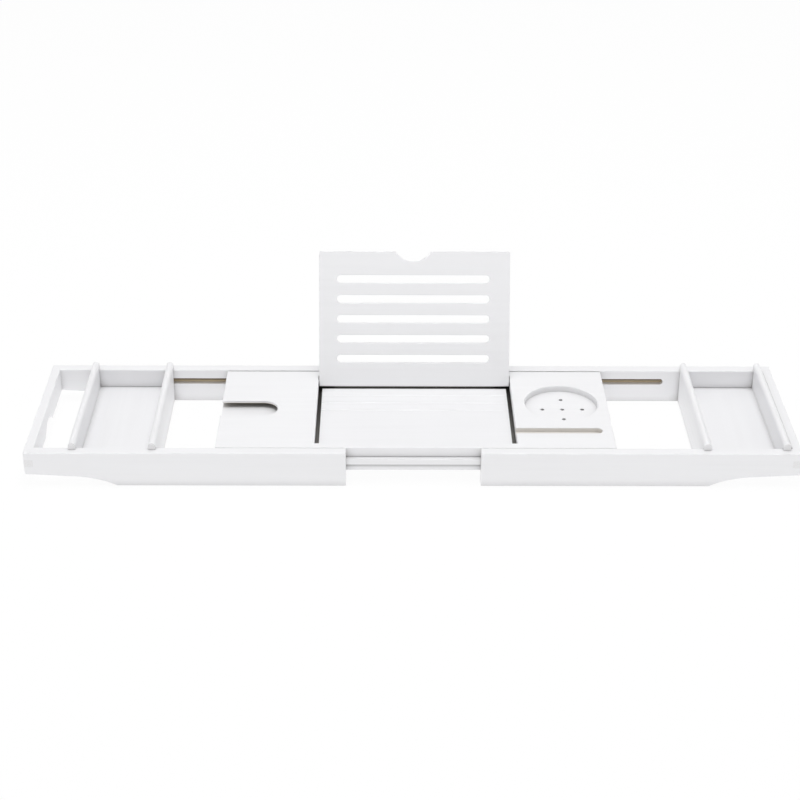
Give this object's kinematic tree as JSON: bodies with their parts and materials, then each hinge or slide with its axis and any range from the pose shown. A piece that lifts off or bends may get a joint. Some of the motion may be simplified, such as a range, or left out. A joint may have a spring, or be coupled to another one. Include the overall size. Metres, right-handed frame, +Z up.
{
  "type": "bath caddy",
  "caption": "Extending wooden caddy that lies across a bath, with sliding wings, loose trays, a folding book rest, a cup recess and slots for a phone and a glass.",
  "frame": {"origin": "under the middle of the box that the caddy fills at rest, on the plane that the rails stand on", "axes": "+X along the caddy to the cup side, +Y from the bather to the back, where the book rest leans, +Z up"},
  "size_m": [0.908, 0.2544, 0.1908],
  "materials": {
    "rail_wood": "satin white paint",
    "deck_wood": "satin white paint",
    "rest_wood": "satin white paint",
    "tray_wood": "satin white paint",
    "pin_steel": "bright zinc",
    "screw_steel": "bright zinc",
    "pad_silicone": "matt translucent"
  },
  "bodies": {
    "deck": {"front_strip": "deck_wood", "rear_strip": "deck_wood", "front_tongue": "deck_wood", "rear_tongue": "deck_wood", "left_panel": "deck_wood", "right_panel": "deck_wood", "left_batten": "deck_wood", "right_batten": "deck_wood", "recess_floor": "deck_wood", "batten_screws": "screw_steel"},
    "left_wing": {"left_front_rail": "rail_wood", "left_rear_rail": "rail_wood", "left_end_rail": "rail_wood", "left_rim_pads": "pad_silicone"},
    "right_wing": {"right_front_rail": "rail_wood", "right_rear_rail": "rail_wood", "right_end_rail": "rail_wood", "right_rim_pads": "pad_silicone"},
    "left_tray": {"left_tray_outer_wall": "tray_wood", "left_tray_inner_wall": "tray_wood", "left_tray_floor": "tray_wood"},
    "right_tray": {"right_tray_outer_wall": "tray_wood", "right_tray_inner_wall": "tray_wood", "right_tray_floor": "tray_wood"},
    "book_rest": {"rest_board": "rest_wood", "rest_pins": "pin_steel"}
  },
  "joints": [
    {"name": "left_wing_slide", "type": "slide", "parent": "deck", "child": "left_wing", "axis": [-1, 0, 0], "range_m": [-0.068, 0.085]},
    {"name": "right_wing_slide", "type": "slide", "parent": "deck", "child": "right_wing", "axis": [1, 0, 0], "range_m": [-0.0785, 0.091]},
    {"name": "left_tray_slide", "type": "slide", "parent": "left_wing", "child": "left_tray", "axis": [1, 0, 0], "range_m": [-0.04, 0.0683]},
    {"name": "right_tray_slide", "type": "slide", "parent": "right_wing", "child": "right_tray", "axis": [-1, 0, 0], "range_m": [-0.0015, 0.1]},
    {"name": "book_rest_hinge", "type": "hinge", "parent": "deck", "child": "book_rest", "pos_m": [0.003, 0.06202, 0.0382], "axis": [1, 0, 0], "range_deg": [0, 112]}
  ]
}
